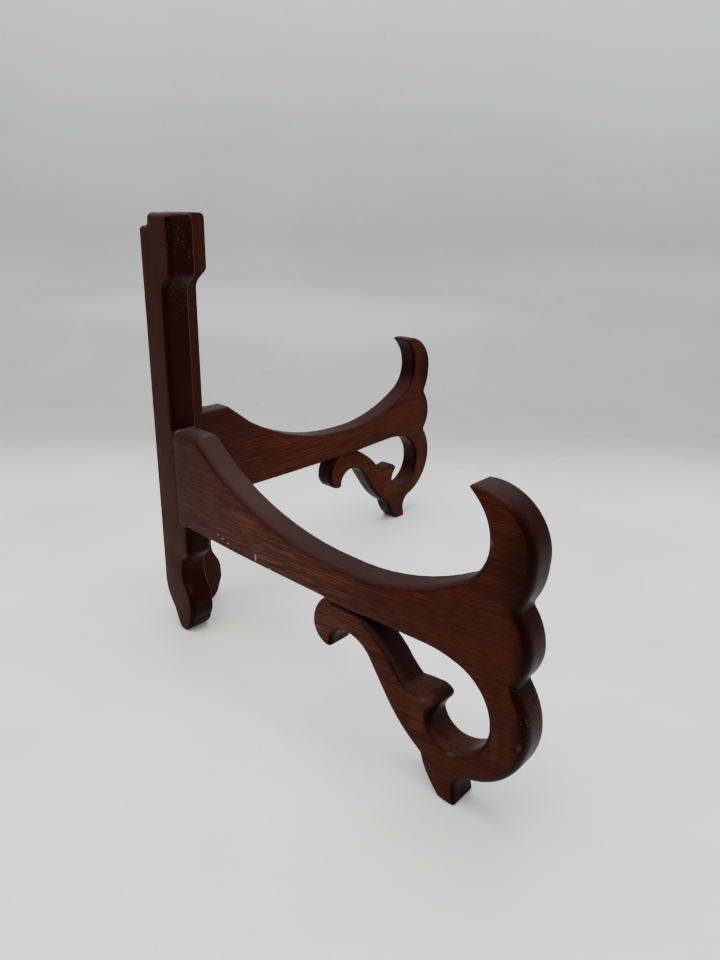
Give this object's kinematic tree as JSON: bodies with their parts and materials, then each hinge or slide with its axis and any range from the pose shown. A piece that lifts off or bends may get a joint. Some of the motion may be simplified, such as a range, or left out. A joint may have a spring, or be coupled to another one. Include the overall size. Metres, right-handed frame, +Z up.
{
  "type": "plate display stand",
  "caption": "Folding display stand for a plate: two hinged wooden halves, each a post with a scrolled fretwork arm whose hooked front end holds the plate's rim.",
  "frame": {"origin": "middle of the footprint of the open stand, on the surface it rests on", "axes": "+X along the stand's width towards the right half, -Y towards the front where the arms point, +Z up along the posts and the hinge pins"},
  "size_m": [0.3954, 0.197, 0.2541],
  "materials": {
    "stained_wood": "dark red-brown stained rosewood look, satin varnish",
    "dowel_wood": "plain beech, uncoated",
    "brass": "satin brass, slightly tarnished"
  },
  "bodies": {
    "left_half": {"left_post": "stained_wood", "left_arm": "stained_wood", "left_lower_dowel": "dowel_wood", "left_upper_dowel": "dowel_wood", "lower_hinge_left_leaf": "brass", "upper_hinge_left_leaf": "brass", "lower_left_screws": "brass", "upper_left_screws": "brass", "lower_hinge_pin": "brass", "upper_hinge_pin": "brass"},
    "right_half": {"right_post": "stained_wood", "right_arm": "stained_wood", "right_lower_dowel": "dowel_wood", "right_upper_dowel": "dowel_wood", "lower_hinge_right_leaf": "brass", "upper_hinge_right_leaf": "brass", "lower_right_screws": "brass", "upper_right_screws": "brass"}
  },
  "joints": [
    {"name": "fold", "type": "hinge", "parent": "left_half", "child": "right_half", "pos_m": [0, 0.08775, 0.13716], "axis": [0, 0, 1], "range_deg": [-90, 90]}
  ]
}
